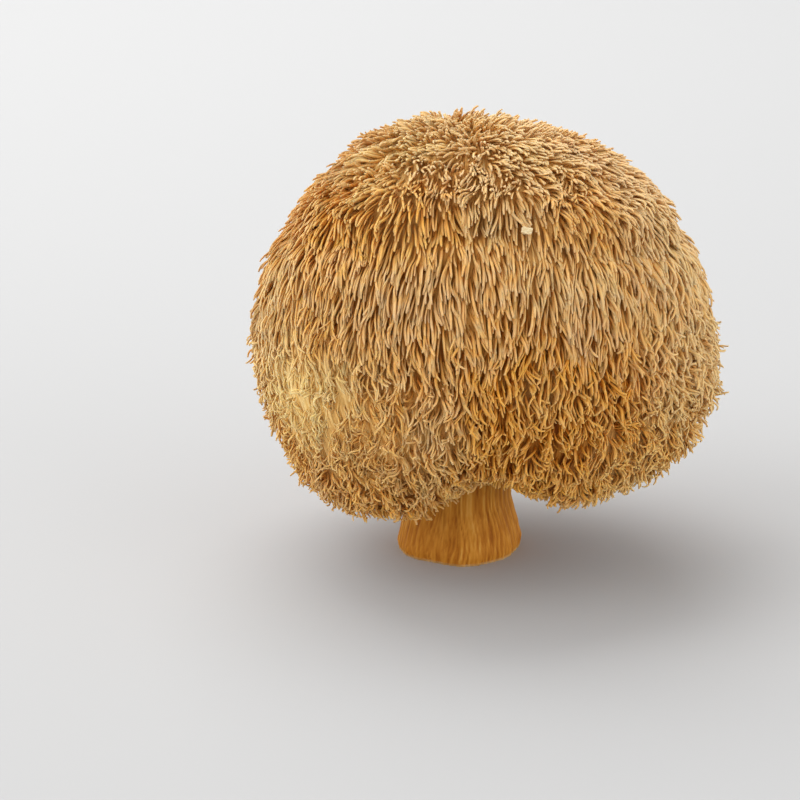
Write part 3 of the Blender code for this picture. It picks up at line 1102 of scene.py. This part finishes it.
def crumb_mesh(flesh):
    """A tiny pale chip that lies on the teeth just under the brow."""
    places = read_vectors(flesh, "co")
    normals = read_vectors(flesh, "normal")
    spot = int(np.argmax(patch_share(places, CRUMB_TURN, CRUMB_ANGLE, CRUMB_PATCH)))
    out = Vector(normals[spot])
    side = out.cross(Vector((0, 0, 1))).normalized()
    lie = Matrix.Rotation(CRUMB_TWIST, 3, out)
    axes = (lie @ side, lie @ out.cross(side), out)
    work = bmesh.new()
    bmesh.ops.create_icosphere(work, subdivisions=3, radius=1.0)
    for corner in work.verts:
        boxy = Vector([math.copysign(abs(x) ** CRUMB_BOXINESS, x) for x in corner.co])
        boxy *= 1 + sum(far * noise.noise(corner.co * lumps) for far, lumps in CRUMB_LUMPS)
        corner.co = Vector(places[spot]) + out * CRUMB_PROUD
        for axis, size, share in zip(axes, CRUMB_SIZE, boxy):
            corner.co += axis * size / 2 * share
    return smooth_mesh(work, "crumb")


# ---- Stage ----

FLOOR_REACH = 3.0
FLOOR_GREY = 0.50
# Each lamp's name, its place and aim in metres, its size and its power.
LAMPS = (
    ("top", (-0.20, 0.60, 0.85), (0.0, 0.2, 0.0), 1.0, 9.4),
    ("key", (-0.90, -0.25, 0.70), (0.0, 0.0, 0.04), 1.1, 6.5),
    ("fill", (0.80, -0.55, 0.10), (0.0, 0.0, 0.04), 0.8, 4.3),
)
# The white studio is brighter toward its walls than overhead.
WALL_LIGHT = 1.25
CEILING_LIGHT = 0.42


def facing(aim):
    """The turn of a lamp or camera that looks along a line."""
    return Vector(aim).to_track_quat("-Z", "Y").to_euler()


def make_floor():
    """Grey paper under the mushroom."""
    reach = FLOOR_REACH
    corners = ((-reach, -reach, 0), (reach, -reach, 0), (reach, reach, 0), (-reach, reach, 0))
    mesh = bpy.data.meshes.new("floor")
    mesh.from_pydata(corners, [], [(0, 1, 2, 3)])
    material, _, shader = new_surface("floor_paper", roughness=0.9)
    shader.inputs["Base Color"].default_value = (FLOOR_GREY, FLOOR_GREY, FLOOR_GREY, 1)
    mesh.materials.append(material)
    placed("floor", mesh)


def make_studio():
    """White light from all round."""
    world = bpy.data.worlds.new("studio")
    world.use_nodes = True
    tree = world.node_tree
    sky = tree.nodes["Background"]
    sky.inputs["Color"].default_value = (1, 1, 1, 1)
    way = tree.nodes.new("ShaderNodeTexCoord").outputs["Generated"]
    height = put(tree, "ShaderNodeSeparateXYZ", (way,)).outputs["Z"]
    inputs = {"Value": height, "To Min": WALL_LIGHT, "To Max": CEILING_LIGHT}
    glow = put(tree, "ShaderNodeMapRange", inputs).outputs[0]
    tree.links.new(glow, sky.inputs["Strength"])
    bpy.context.scene.world = world
    bpy.context.scene.view_settings.view_transform = "Standard"


def make_lamps():
    """Soft lamps above and behind, at the left, and low at the right."""
    for name, place, aim, size, power in LAMPS:
        light = bpy.data.lights.new(name, "AREA")
        light.size = size
        light.energy = power
        lamp = placed(name, light)
        lamp.location = place
        lamp.rotation_euler = facing(np.array(aim) - np.array(place))


# The head's width over its teeth, and what the photograph shows, in its pixels: its own width,
# the head's width, the stem's middle and the height of the head's widest part.
HEAD_WIDTH = 86 * MM
PHOTO_WIDTH = 800
PHOTO_HEAD_WIDTH = 475
PHOTO_STEM_X = 460
PHOTO_EQUATOR_Y = 355
PIXEL = HEAD_WIDTH / PHOTO_HEAD_WIDTH
CAMERA_RISE = math.radians(18)
CAMERA_DISTANCE = 0.62
SENSOR_WIDTH = 36
NEAREST_SEEN = 0.01
FURTHEST_SEEN = 20


def make_camera():
    """A long lens at the photograph's height, turned so the head sits where it does there."""
    middle = PHOTO_WIDTH / 2
    aim = np.array((
        (middle - PHOTO_STEM_X) * PIXEL,
        0.0,
        EQUATOR - (middle - PHOTO_EQUATOR_Y) * PIXEL / math.cos(CAMERA_RISE),
    ))
    camera = bpy.data.cameras.new("camera")
    camera.sensor_width = SENSOR_WIDTH
    camera.lens = SENSOR_WIDTH * CAMERA_DISTANCE / (PHOTO_WIDTH * PIXEL)
    camera.clip_start = NEAREST_SEEN
    camera.clip_end = FURTHEST_SEEN
    holder = placed("camera", camera)
    away = np.array((0, -math.cos(CAMERA_RISE), math.sin(CAMERA_RISE)))
    holder.location = aim + away * CAMERA_DISTANCE
    holder.rotation_euler = facing(-away)
    bpy.context.scene.camera = holder


# ---- The mushroom ----


def add_piece(mesh, material):
    """A mesh as an object of its own, with one material."""
    mesh.materials.append(material)
    return placed(mesh.name, mesh)


def stands_for(piece, node):
    """Tie a finished piece to the solid that it takes the place of."""
    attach(piece, "root")
    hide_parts(node)


def main():
    make_camera()
    make_floor()
    make_studio()
    make_lamps()
    flesh = flesh_mesh()
    pieces = make_coat(flesh, tooth_material())
    pieces.append(add_piece(crumb_mesh(flesh), crumb_material()))
    pieces.append(add_piece(flesh, flesh_material()))
    for piece in pieces:
        stands_for(piece, "head")
    stands_for(add_piece(stem_mesh(), stem_material()), "stem")


main()
